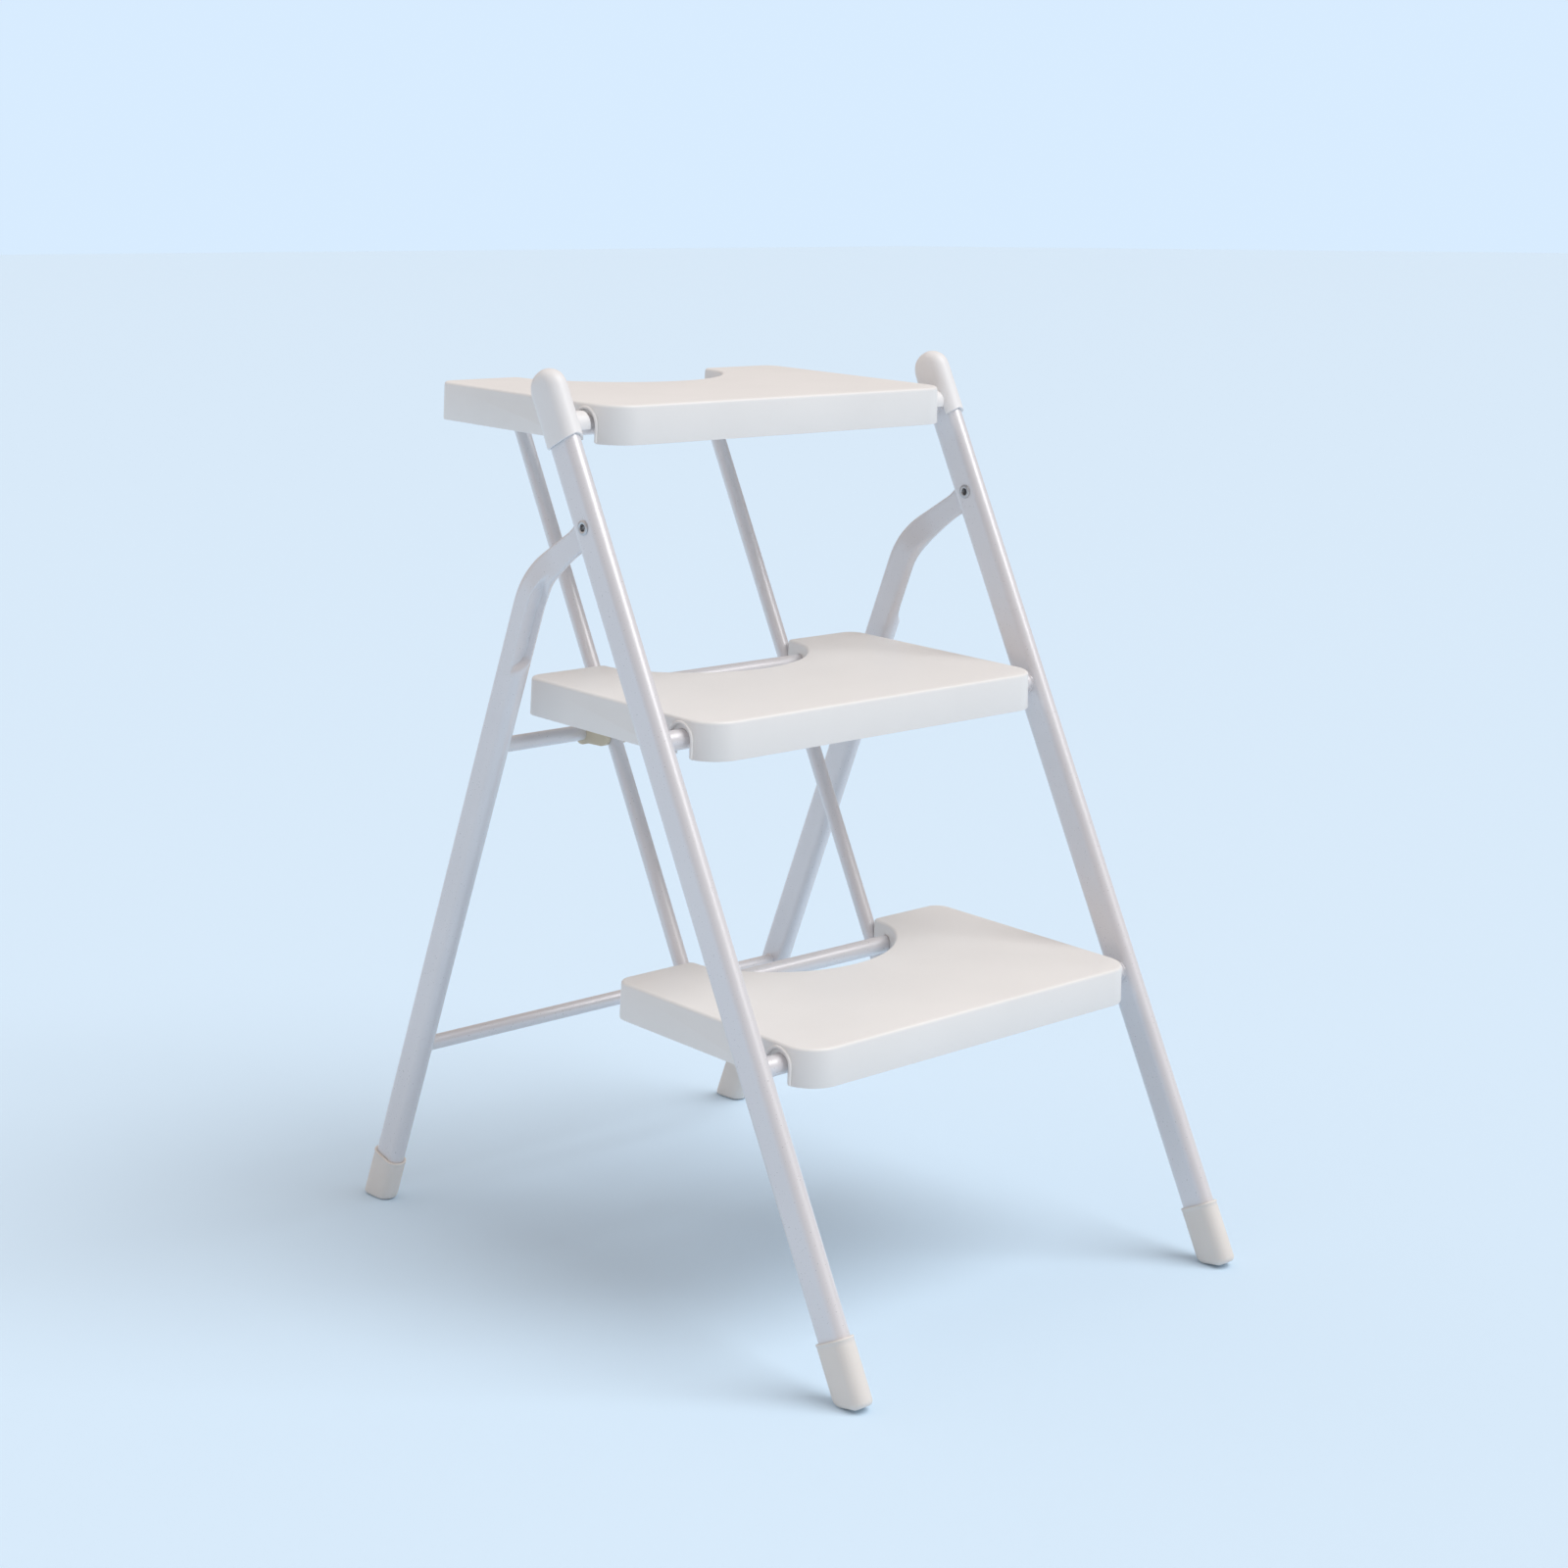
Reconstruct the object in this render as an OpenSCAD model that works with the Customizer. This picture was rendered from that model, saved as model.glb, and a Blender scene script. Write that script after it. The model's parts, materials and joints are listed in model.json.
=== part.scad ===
// Folding three-step stool: two tube frames, three moulded treads, one rear linkage.
// Origin: centre of the footprint, on the floor. Front of the stool faces -Y.

/* [Frames] */
// Distance between the centre lines of the two front stiles
stile_spacing = 420; // [400:1:440]
// Lean of the front stiles from the vertical, in degrees
stile_angle = 25.4; // [24:0.1:27]
// Lean of the rear legs from the vertical, in degrees
leg_angle = 23; // [22:0.1:24]
// Distance on the floor from the front stile line to the rear leg line
foot_span = 612; // [600:1:625]
// Long side of the flat-oval tube
tube_depth = 30; // [28:0.5:32]
// Short side of the flat-oval tube
tube_thick = 15; // [14:0.5:16]
// Wall of the flat-oval tube
tube_wall = 1.5; // [1:0.1:2]
// Height of the rivets that join the two frames
rivet_height = 623; // [610:1:635]
// Height at which the front stiles end, inside their caps
stile_top = 728; // [724:1:732]

/* [Treads] */
// Width of a tread
tread_width = 372; // [360:1:380]
// Reach of a tread in front of its pivot tube
tread_front = 34; // [30:1:38]
// Reach of a tread behind its pivot tube
tread_rear = 197; // [194:1:200]
// Height of a tread's skirt
skirt_height = 31; // [29:0.5:33]
// Distance from the pivot tube's centre up to the tread's top face
pivot_drop = 17; // [16:0.5:18]
// Height of the lowest pivot tube
first_pivot = 232.5; // [225:0.5:240]
// Rise from one pivot tube to the next
step_rise = 232.7; // [225:0.1:240]
// Upward slope of the open treads towards the rear, in degrees
tread_slope = 2.5; // [0:0.1:3.5]
// Thickness of a tread's top
top_wall = 3; // [2.5:0.1:4]
// Thickness of a tread's skirt
skirt_wall = 2.6; // [2:0.1:3.5]

/* [Linkage] */
// Distance from a tread's pivot tube back to its linkage tube
link_reach = 175; // [172:1:178]
// Horizontal distance from the stile line back to the link rods
rod_offset = 195; // [193:1:198]
// Distance of each link rod from the middle of the stool
rod_x = 106; // [104:1:108]
// Diameter of the link rods and of the rear crossbars
rod_d = 13; // [12:0.5:14]
// Diameter of the three linkage tubes
link_tube_d = 15; // [14:0.5:16]
// Diameter of the three pivot tubes
pivot_tube_d = 16; // [15:0.5:17]

/* [Rear frame] */
// Distance along the rear leg, from the floor, to the middle crossbar
bar_middle_s = 471; // [465:1:478]
// Distance along the rear leg, from the floor, to the lower crossbar
bar_lower_s = 166; // [150:1:200]
// Angle through which each rear leg bends forward at its top
bend_angle = 37; // [33:1:41]
// Centre-line radius of that bend
bend_radius = 70; // [60:1:80]

/* [Hidden] */
$fn = 64;

paint_white = [0.90, 0.90, 0.93];
plastic_white = [0.94, 0.94, 0.93];
plastic_ivory = [0.90, 0.88, 0.83];
zinc = [0.70, 0.71, 0.73];
LEFT = -1;
RIGHT = 1;
LOWER = 0;
MIDDLE = 1;
TOP = 2;

foot_depth = tube_depth + 4;
foot_thick = tube_thick + 4;
sleeve_gap = 0.15;
footprint_front = foot_depth / 2 / cos(stile_angle);
footprint_rear = foot_span + foot_depth / 2 / cos(leg_angle);
footprint_middle = (footprint_rear - footprint_front) / 2;
leg_spacing = stile_spacing - 2;
stile_inner = (stile_spacing - tube_thick) / 2;
leg_inner = (leg_spacing - tube_thick) / 2;
rivet_y = rivet_height * tan(stile_angle);
rivet_r = 4;
tongue_thick = 4;
running_gap = 0.05;
loose_gap = 0.3;
join = 0.05;
slot_width = tongue_thick + 2 * 0.4;
slot_low = -60;
slot_high = 14;
slot_start = 4;
flange_thick = 1.3;
pivot_tube_r = pivot_tube_d / 2;
link_tube_r = link_tube_d / 2;
rod_r = rod_d / 2;
thin_wall = 1.2;
link_tube_half = 152;
sole_thick = 7;
front_foot_length = 52;
rear_foot_length = 46;

// Distance along a leaning tube from the floor to where it ends inside its foot
function sole_start(lean) = sole_thick / cos(lean) + foot_depth / 2 * tan(lean);

// ---- placing helpers -------------------------------------------------------

// Side-view frame whose y is 0 where the front stile line meets the floor
module in_stand() { translate([0, -footprint_middle, 0]) children(); }

// Frame with z up along the front stile, starting at height h
module on_stile(h = 0) {
    in_stand() translate([0, h * tan(stile_angle), h]) rotate([-stile_angle, 0, 0]) children();
}

// Frame with z up along the rear leg, starting on the floor
module on_leg() {
    in_stand() translate([0, foot_span, 0]) rotate([leg_angle, 0, 0]) children();
}

// Frame of one tread: x along its pivot tube, y to the rear, z square to its top face
module on_tread(index) {
    h = first_pivot + index * step_rise;
    in_stand() translate([0, h * tan(stile_angle), h]) rotate([tread_slope, 0, 0]) children();
}

// Turns an outline drawn in (y, z) into a solid running along x from x0 to x1
module along_x(x0, x1) {
    translate([x0, 0, 0]) rotate([90, 0, 90]) linear_extrude(height = x1 - x0) children();
}

// Round bar or bore along x
module x_cylinder(r, x0, x1) {
    translate([x0, 0, 0]) rotate([0, 90, 0]) cylinder(r = r, h = x1 - x0);
}

module x_tube(r, wall, x0, x1) {
    difference() {
        x_cylinder(r, x0, x1);
        x_cylinder(r - wall, x0 - 1, x1 + 1);
    }
}

// Flat oval with its long side along y
module flat_oval(depth, thick) {
    square([thick, depth - thick], center = true);
    for (end = [-1, 1]) translate([0, end * (depth - thick) / 2]) circle(d = thick);
}

module flat_oval_ring(depth, thick, wall) {
    difference() {
        flat_oval(depth, thick);
        flat_oval(depth - 2 * wall, thick - 2 * wall);
    }
}

// ---- front frame -------------------------------------------------------------

module front_stile(side) {
    sole_s = sole_start(stile_angle);
    color(paint_white) difference() {
        translate([side * stile_spacing / 2, 0, 0]) on_stile()
            translate([0, 0, sole_s])
                linear_extrude(height = stile_top / cos(stile_angle) - sole_s)
                    flat_oval_ring(tube_depth, tube_thick, tube_wall);
        in_stand() translate([0, rivet_y, rivet_height])
            x_cylinder(rivet_r + 0.1, side * stile_spacing / 2 - 20, side * stile_spacing / 2 + 20);
        // slot in the rear wall that the rear leg's flat end turns in
        translate([side * stile_spacing / 2, 0, 0]) on_stile(rivet_height)
            translate([-slot_width / 2, slot_start, slot_low])
                cube([slot_width, tube_depth, slot_high - slot_low]);
    }
}

module pivot_tube(index) {
    color(paint_white) on_tread(index)
        x_tube(pivot_tube_r, thin_wall, -stile_inner, stile_inner);
}

// Domed sleeve over the stile's top; its lower edge rises to a point at the front and rear
module stile_cap(side) {
    cap_depth = tube_depth + 5;
    cap_thick = tube_thick + 4.5;
    end_s = stile_top / cos(stile_angle);
    skirt_s = end_s - 48;
    crown_s = end_s - cap_depth / 2 + 13;
    pivot_s = (first_pivot + TOP * step_rise) / cos(stile_angle);
    collar_start = 8.5;
    collar_end = 21;
    slot_side = 2;
    chevron = 2.5;
    arch_r = pivot_tube_r + loose_gap;
    color(plastic_white) translate([side * stile_spacing / 2, 0, 0]) on_stile() difference() {
        translate([0, 0, pivot_s]) scale([-side, 1, 1])
            x_cylinder(pivot_tube_r + 3, collar_start, collar_end);
        translate([0, 0, pivot_s]) scale([-side, 1, 1]) {
            x_cylinder(arch_r, slot_side, collar_end + 1);
            translate([slot_side, -arch_r, -40]) cube([collar_end, 2 * arch_r, 40]);
        }
    }
    color(plastic_white) translate([side * stile_spacing / 2, 0, 0]) on_stile() difference() {
        intersection() {
            translate([0, 0, skirt_s]) linear_extrude(height = 90)
                flat_oval(cap_depth, cap_thick);
            along_x(-20, 20) {
                translate([0, crown_s]) circle(d = cap_depth);
                translate([-cap_depth / 2, skirt_s])
                    square([cap_depth, crown_s - skirt_s]);
            }
            rotate([90, 0, 0]) linear_extrude(height = 60, center = true) {
                translate([0, crown_s + cap_depth / 2 - cap_thick / 2]) circle(d = cap_thick);
                translate([-cap_thick / 2, skirt_s])
                    square([cap_thick, crown_s + (cap_depth - cap_thick) / 2 - skirt_s]);
            }
        }
        translate([0, 0, skirt_s - 1]) linear_extrude(height = end_s - skirt_s + 1)
            flat_oval(tube_depth + 2 * sleeve_gap, tube_thick + 2 * sleeve_gap);
        // chevron cut in the lower edge
        rotate([90, 0, 0]) linear_extrude(height = 60, center = true)
            polygon([[-cap_thick, skirt_s - chevron], [0, skirt_s + chevron],
                     [cap_thick, skirt_s - chevron],
                     [cap_thick, skirt_s - 20], [-cap_thick, skirt_s - 20]]);
        // slot on the inner side that lets the top pivot tube through
        translate([0, 0, pivot_s]) scale([-side, 1, 1]) {
            x_cylinder(arch_r, slot_side, collar_end + 1);
            translate([slot_side, -arch_r, -40]) cube([collar_end, 2 * arch_r, 40]);
        }
    }
}

// Moulded sleeve foot, cut flat at the floor
module foot_sleeve(length, sole_s, lean) {
    intersection() {
        rotate([lean, 0, 0]) difference() {
            translate([0, 0, -20]) linear_extrude(height = length + 20)
                flat_oval(foot_depth, foot_thick);
            translate([0, 0, sole_s]) linear_extrude(height = length)
                flat_oval(tube_depth + 2 * sleeve_gap, tube_thick + 2 * sleeve_gap);
        }
        translate([-30, -60, 0]) cube([60, 120, 120]);
    }
}

module front_foot(side) {
    sole_s = sole_start(stile_angle);
    color(plastic_ivory) in_stand() translate([side * stile_spacing / 2, 0, 0])
        foot_sleeve(front_foot_length, sole_s, -stile_angle);
}

// Hollow rivet with a rolled flange at each end
module frame_rivet(side) {
    head_x = stile_spacing / 2 + tube_thick / 2;
    tail_x = stile_inner;
    color(zinc) in_stand() translate([0, rivet_y, rivet_height]) scale([side, 1, 1])
        difference() {
            union() {
                x_cylinder(rivet_r, tail_x - flange_thick, head_x + flange_thick);
                x_cylinder(rivet_r + 2, head_x, head_x + flange_thick);
                x_cylinder(rivet_r + 2, tail_x - flange_thick, tail_x);
            }
            x_cylinder(rivet_r - 1, tail_x - 5, head_x + 5);
        }
}

// Two spacers inside the stile, one on each side of the leg's flat end
module rivet_washer(side) {
    near = tongue_thick / 2 + 0.1;
    far = tube_thick / 2 - tube_wall;
    color(plastic_white) in_stand()
        translate([side * stile_spacing / 2, rivet_y, rivet_height]) difference() {
            union() {
                x_cylinder(rivet_r + 4, near, far);
                x_cylinder(rivet_r + 4, -far, -near);
            }
            x_cylinder(rivet_r + 0.1, -20, 20);
        }
}

// ---- rear frame --------------------------------------------------------------

// The rivet seen in the leg's own frame, and the bend worked out from it
rivet_leg_y = (rivet_y - foot_span) * cos(leg_angle) + rivet_height * sin(leg_angle);
rivet_leg_s = -(rivet_y - foot_span) * sin(leg_angle) + rivet_height * cos(leg_angle);
tongue_drop = 7;
tongue_run = -(rivet_leg_y - tongue_drop * cos(bend_angle)) / sin(bend_angle);
bend_tangent = bend_radius * tan(bend_angle / 2);
bend_s = rivet_leg_s - tongue_drop * sin(bend_angle) - tongue_run * cos(bend_angle) - bend_tangent;
tongue_length = tongue_run - bend_tangent;
taper_length = 12;
press_s = bend_s - 50;
pressed_depth = 7;
pressed_thick = 5;
tongue_in = (stile_spacing - tongue_thick) / 2;
tongue_out = (stile_spacing + tongue_thick) / 2;
tongue_tip_r = 12.5;

// Section of the leg where its front half is pressed against its inner wall; u points to the rear
module pressed_section() {
    difference() {
        union() {
            translate([pressed_depth / 2, leg_spacing / 2])
                rotate(90) flat_oval(tube_depth - pressed_depth, tube_thick);
            translate([-tube_depth / 2, leg_inner]) square([9, pressed_thick]);
        }
        translate([pressed_depth / 2, leg_spacing / 2]) rotate(90)
            flat_oval(tube_depth - pressed_depth - 2 * tube_wall, tube_thick - 2 * tube_wall);
    }
}

module rear_leg(side) {
    sole_s = sole_start(leg_angle);
    color(paint_white) scale([side, 1, 1]) on_leg() {
        translate([leg_spacing / 2, 0, sole_s]) linear_extrude(height = press_s - sole_s + join)
            flat_oval_ring(tube_depth, tube_thick, tube_wall);
        translate([0, 0, press_s]) linear_extrude(height = bend_s - press_s)
            mirror([1, -1, 0]) pressed_section();
        translate([0, -bend_radius, bend_s]) rotate([90, 0, 90])
            rotate_extrude(angle = bend_angle) translate([bend_radius, 0]) pressed_section();
        translate([0, -bend_radius * (1 - cos(bend_angle)), bend_s + bend_radius * sin(bend_angle)])
            rotate([bend_angle, 0, 0]) difference() {
                union() {
                    rotate([90, 0, 0]) linear_extrude(height = tube_depth, center = true)
                        polygon([[leg_inner, 0], [leg_inner + tube_thick, 0],
                                 [tongue_out, taper_length], [tongue_in, taper_length]]);
                    along_x(tongue_in, tongue_out) {
                        polygon([[-tube_depth / 2, taper_length], [tube_depth / 2, taper_length],
                                 [tube_depth / 2, tongue_length - 24],
                                 [tongue_drop + tongue_tip_r, tongue_length],
                                 [tongue_drop - tongue_tip_r, tongue_length],
                                 [tongue_drop - tongue_tip_r, taper_length + 18]]);
                        translate([tongue_drop, tongue_length]) circle(r = tongue_tip_r);
                    }
                }
                translate([0, tongue_drop, tongue_length])
                    x_cylinder(rivet_r + running_gap, tongue_in - 5, tongue_out + 5);
            }
    }
}

module rear_crossbar(s) {
    color(paint_white) on_leg() translate([0, 0, s])
        x_tube(rod_r, thin_wall, -leg_inner, leg_inner);
}

module rear_foot(side) {
    sole_s = sole_start(leg_angle);
    color(plastic_ivory) in_stand() translate([side * leg_spacing / 2, foot_span, 0])
        foot_sleeve(rear_foot_length, sole_s, leg_angle);
}

// Collar on the middle crossbar with two cheeks that guide the link rod between them
module slide_guide(side) {
    cheek = 4.8;
    slot = rod_r + 0.7;
    reach = 33;
    color(plastic_ivory) scale([side, 1, 1]) on_leg() translate([rod_x, 0, bar_middle_s])
        rotate([-leg_angle, 0, 0]) difference() {
            union() {
                x_cylinder(rod_r + 3.5, -slot - cheek, slot + cheek);
                for (x0 = [-slot - cheek, slot]) along_x(x0, x0 + cheek) {
                    translate([-reach + 8, -8]) square([reach - 8, 16]);
                    translate([-reach + 8, 0]) circle(d = 16);
                }
            }
            x_cylinder(rod_r + running_gap, -40, 40);
        }
}

// ---- treads ------------------------------------------------------------------

tread_top_z = pivot_drop;
tread_low_z = pivot_drop - skirt_height;
front_corner = 28;
rear_corner = 16;
grip_y = 190;
grip_depth = 78;
grip_side_r = 52;
grip_side_x = 50;
grip_front_r = (grip_side_x * grip_side_x + grip_depth * grip_depth - grip_side_r * grip_side_r)
    / (2 * (grip_depth - grip_side_r));
lug_width = 6;
saddle_front_x = 92;
saddle_rear_x = 136;
saddle_width = 14;
saddle_ear = 14;
boss_r = 4;
recess_depth = 2.4;
recess_thick = 2.4;
recess_half = 14.6;
arch_gap = 4.2;

// Outline of a tread, shrunk by inset, without the cut-out at its rear
module tread_outline(inset) {
    half = tread_width / 2 - inset;
    y0 = -tread_front + inset;
    y1 = tread_rear - inset;
    rf = front_corner - inset;
    rr = rear_corner - inset;
    translate([-half + rf, y0]) square([2 * (half - rf), y1 - y0]);
    translate([-half, y0 + rf]) square([2 * half, y1 - y0 - rf - rr]);
    translate([-half + rr, y1 - rr - 1]) square([2 * (half - rr), rr + 1]);
    for (side = [-1, 1]) {
        translate([side * (half - rf), y0 + rf]) circle(r = rf);
        translate([side * (half - rr), y1 - rr]) circle(r = rr);
    }
}

// Points along an arc about centre, from angle a0 to a1
function arc(centre, r, a0, a1, steps) =
    [for (i = [0:steps]) centre + r * [cos(a0 + (a1 - a0) * i / steps), sin(a0 + (a1 - a0) * i / steps)]];

// Bowl-shaped cut-out, grown by grow: three arcs that run into each other and a flared mouth
module grip_outline(grow) {
    front_y = grip_y - grip_depth + grip_front_r;
    turn = atan2(front_y - grip_y, grip_side_x);
    mouth = grip_side_x + grip_side_r + grow;
    flare = mouth + 9;
    polygon(concat(
        [[flare, tread_rear + 20], [flare, tread_rear + 1]],
        arc([grip_side_x, grip_y], grip_side_r + grow, 0, -turn, 10),
        arc([0, front_y], grip_front_r + grow, -turn - 4, turn - 176, 26),
        arc([-grip_side_x, grip_y], grip_side_r + grow, turn - 180, -180, 10),
        [[-flare, tread_rear + 1], [-flare, tread_rear + 20]]));
}

// Arched opening for a tube: round at the top, open at the bottom
module tube_arch(r, y, x0, x1) {
    translate([0, y, 0]) {
        x_cylinder(r, x0, x1);
        translate([x0, -r, -40]) cube([x1 - x0, 2 * r, 40]);
    }
}

// Space swept by one link rod behind the linkage tube while the tread turns
module rod_relief(side) {
    keep_r = 14.3;
    tilt = stile_angle + tread_slope;
    translate([0, link_reach, 0]) scale([side, 1, 1]) along_x(rod_x - rod_r - 1.5, rod_x + rod_r + 1.5) {
        difference() {
            translate([0, -40]) square([60, 40]);
            circle(r = keep_r);
        }
        rotate(-tilt) translate([keep_r, -50]) square([50, 100]);
    }
    // slot that the lug between tube and rod turns in
    translate([0, link_reach, 0]) scale([side, 1, 1])
        along_x(rod_x - lug_width / 2 - 0.5, rod_x + lug_width / 2 + 0.5) {
            translate([-10, -40]) square([70, 40]);
            circle(r = 13);
        }
}

// Raised bead round the arch in each side wall
module arch_bead(side) {
    bead = 2.2;
    translate([side * tread_width / 2, 0, 0]) scale([side, 1, 1]) intersection() {
        difference() {
            x_cylinder(pivot_tube_r + arch_gap + bead, -1, 1.3);
            x_cylinder(pivot_tube_r + arch_gap, -5, 5);
        }
        translate([-5, -30, -1]) cube([10, 60, 60]);
    }
    for (leg = [-1, 1]) translate([side * tread_width / 2, 0, 0]) scale([side, 1, 1])
        translate([-1, leg > 0 ? pivot_tube_r + arch_gap : -pivot_tube_r - arch_gap - bead, tread_low_z])
            cube([2.3, bead, -tread_low_z - 1]);
}

module tread_shell(index) {
    rib = 2.2;
    rib_low = -6;
    link_gap = index == MIDDLE ? running_gap : loose_gap;
    color(plastic_white) on_tread(index) difference() {
        union() {
            // top and skirt
            difference() {
                translate([0, 0, tread_low_z]) linear_extrude(height = skirt_height) difference() {
                    tread_outline(0);
                    grip_outline(0);
                }
                translate([0, 0, tread_low_z - 1]) linear_extrude(height = skirt_height - top_wall + 1)
                    difference() {
                        tread_outline(skirt_wall);
                        grip_outline(skirt_wall);
                    }
            }
            // ribs across and along, and screw bosses
            translate([0, 0, rib_low]) linear_extrude(height = tread_top_z - top_wall - rib_low + 0.5)
                difference() {
                    intersection() {
                        tread_outline(1);
                        union() {
                            for (x = [-170, -saddle_front_x - 12, -60, 0, 60, saddle_front_x + 12, 170])
                                translate([x - rib / 2, -60]) square([rib, 300]);
                            for (x = [-saddle_rear_x - 14, saddle_rear_x + 14])
                                translate([x - rib / 2, 130]) square([rib, 100]);
                            for (y = [-22, 30, 62, 94]) translate([-200, y]) square([400, rib]);
                        }
                    }
                    grip_outline(1);
                }
            for (side = [-1, 1], ear = [-1, 1]) {
                translate([side * saddle_front_x, ear * saddle_ear, -5])
                    cylinder(r = boss_r, h = tread_top_z - top_wall + 5.5);
                translate([side * saddle_rear_x, link_reach + ear * saddle_ear, -5])
                    cylinder(r = boss_r, h = tread_top_z - top_wall + 5.5);
            }
            for (side = [-1, 1]) {
                arch_bead(side);
                // wall that closes the arch a little way in from the side
                scale([side, 1, 1])
                    translate([tread_width / 2 - recess_depth - recess_thick, -recess_half, tread_low_z + 1])
                        cube([recess_thick, 2 * recess_half, skirt_height - top_wall - 0.5]);
            }
        }
        // inside the skirt the ribs seat on the pivot tube and on the linkage tube
        tube_arch(pivot_tube_r + running_gap, 0, -tread_width / 2 - 1, tread_width / 2 + 1);
        for (side = [-1, 1]) {
            scale([side, 1, 1]) tube_arch(pivot_tube_r + arch_gap, 0,
                tread_width / 2 - recess_depth, tread_width / 2 + 8);
            scale([side, 1, 1]) tube_arch(link_tube_r + link_gap, link_reach, 80, link_tube_half + 1);
            rod_relief(side);
            for (ear = [-1, 1]) {
                translate([side * saddle_front_x, ear * saddle_ear, -6]) cylinder(r = 1.6, h = 13);
                translate([side * saddle_rear_x, link_reach + ear * saddle_ear, -6])
                    cylinder(r = 1.6, h = 13);
            }
        }
    }
}

// Clamp plate that holds the tread on a tube from below
module saddle(r) {
    difference() {
        along_x(-saddle_width / 2, saddle_width / 2) {
            translate([-saddle_ear - 4, -8]) square([2 * saddle_ear + 8, 3]);
            translate([0, 0]) intersection() {
                circle(r = r + 2.4);
                translate([-r - 2.4, -30]) square([2 * r + 4.8, 25]);
            }
        }
        x_cylinder(r, -20, 20);
        for (ear = [-1, 1]) translate([0, ear * saddle_ear, -12]) cylinder(r = 1.7, h = 12);
    }
}

module tread_saddles(index) {
    link_gap = index == MIDDLE ? running_gap : loose_gap;
    color(plastic_ivory) on_tread(index) for (side = [-1, 1]) {
        translate([side * saddle_front_x, 0, 0]) saddle(pivot_tube_r + running_gap);
        translate([side * saddle_rear_x, link_reach, 0]) saddle(link_tube_r + link_gap);
    }
}

// Pan-head screw pointing up, its head under the clamp plate
module saddle_screw() {
    translate([0, 0, -10]) cylinder(r = 3.2, h = 2);
    translate([0, 0, -9]) cylinder(r = 1.5, h = 13);
}

module tread_screws(index) {
    color(zinc) on_tread(index) for (side = [-1, 1], ear = [-1, 1]) {
        translate([side * saddle_front_x, ear * saddle_ear, 0]) saddle_screw();
        translate([side * saddle_rear_x, link_reach + ear * saddle_ear, 0]) saddle_screw();
    }
}

// ---- rear linkage ------------------------------------------------------------

// Frame on the link rods' line: z along the rods, z = 0 beside the lowest linkage tube
link_rise = link_reach * sin(tread_slope);
link_run = link_reach * cos(tread_slope);
rod_gap = (rod_offset - link_run + link_rise * tan(stile_angle)) * cos(stile_angle);
tube_pitch = step_rise / cos(stile_angle);
rod_tail = 12;

module on_link() {
    in_stand() translate([0, first_pivot * tan(stile_angle) + link_run, first_pivot + link_rise])
        rotate([-stile_angle, 0, 0]) children();
}

module link_rod(side) {
    color(paint_white) on_link() translate([side * rod_x, rod_gap, -rod_tail])
        difference() {
            cylinder(r = rod_r, h = TOP * tube_pitch + 2 * rod_tail);
            translate([0, 0, -1]) cylinder(r = rod_r - thin_wall, h = TOP * tube_pitch + 2 * rod_tail + 2);
        }
}

module link_tube(index) {
    color(paint_white) on_link() translate([0, 0, index * tube_pitch])
        x_tube(link_tube_r, thin_wall, -link_tube_half, link_tube_half);
}

// Saddle-cut lugs welded between each rod and each tube
module link_lugs() {
    lug_length = 12;
    color(paint_white) on_link() for (side = [-1, 1], index = [LOWER, MIDDLE, TOP])
        translate([side * rod_x, 0, index * tube_pitch]) difference() {
            translate([-lug_width / 2, 0, -lug_length / 2]) cube([lug_width, rod_gap, lug_length]);
            x_cylinder(link_tube_r, -20, 20);
            translate([0, rod_gap, -20]) cylinder(r = rod_r, h = 40);
        }
}

// Push-in plug with a low domed head
module push_plug(r, wall) {
    translate([0, 0, -8]) cylinder(r = r - wall - 0.1, h = 8.5);
    intersection() {
        cylinder(r = r, h = 3);
        translate([0, 0, 3 - 2 * r]) sphere(r = 2 * r);
    }
}

module link_rod_plugs() {
    color(plastic_ivory) on_link() for (side = [-1, 1]) {
        translate([side * rod_x, rod_gap, TOP * tube_pitch + rod_tail]) push_plug(rod_r, thin_wall);
        translate([side * rod_x, rod_gap, -rod_tail]) mirror([0, 0, 1]) push_plug(rod_r, thin_wall);
    }
}

module link_tube_plugs() {
    color(plastic_ivory) on_link() for (side = [-1, 1], index = [LOWER, MIDDLE, TOP])
        translate([side * link_tube_half, 0, index * tube_pitch]) rotate([0, side * 90, 0])
            push_plug(link_tube_r, thin_wall);
}

// ---- assembly ----------------------------------------------------------------

front_stile(LEFT);  // front_stile_left
front_stile(RIGHT);  // front_stile_right
pivot_tube(TOP);  // pivot_tube_top
pivot_tube(MIDDLE);  // pivot_tube_middle
pivot_tube(LOWER);  // pivot_tube_lower
stile_cap(LEFT);  // stile_cap_left
stile_cap(RIGHT);  // stile_cap_right
front_foot(LEFT);  // front_foot_left
front_foot(RIGHT);  // front_foot_right
frame_rivet(LEFT);  // frame_rivet_left
frame_rivet(RIGHT);  // frame_rivet_right
rivet_washer(LEFT);  // rivet_washer_left
rivet_washer(RIGHT);  // rivet_washer_right
rear_leg(LEFT);  // rear_leg_left
rear_leg(RIGHT);  // rear_leg_right
rear_crossbar(bar_middle_s);  // rear_crossbar_middle
rear_crossbar(bar_lower_s);  // rear_crossbar_lower
rear_foot(LEFT);  // rear_foot_left
rear_foot(RIGHT);  // rear_foot_right
slide_guide(LEFT);  // slide_guide_left
slide_guide(RIGHT);  // slide_guide_right
tread_shell(TOP);  // tread_top
tread_shell(MIDDLE);  // tread_middle
tread_shell(LOWER);  // tread_lower
tread_saddles(TOP);  // tread_saddles_top
tread_saddles(MIDDLE);  // tread_saddles_middle
tread_saddles(LOWER);  // tread_saddles_lower
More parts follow.
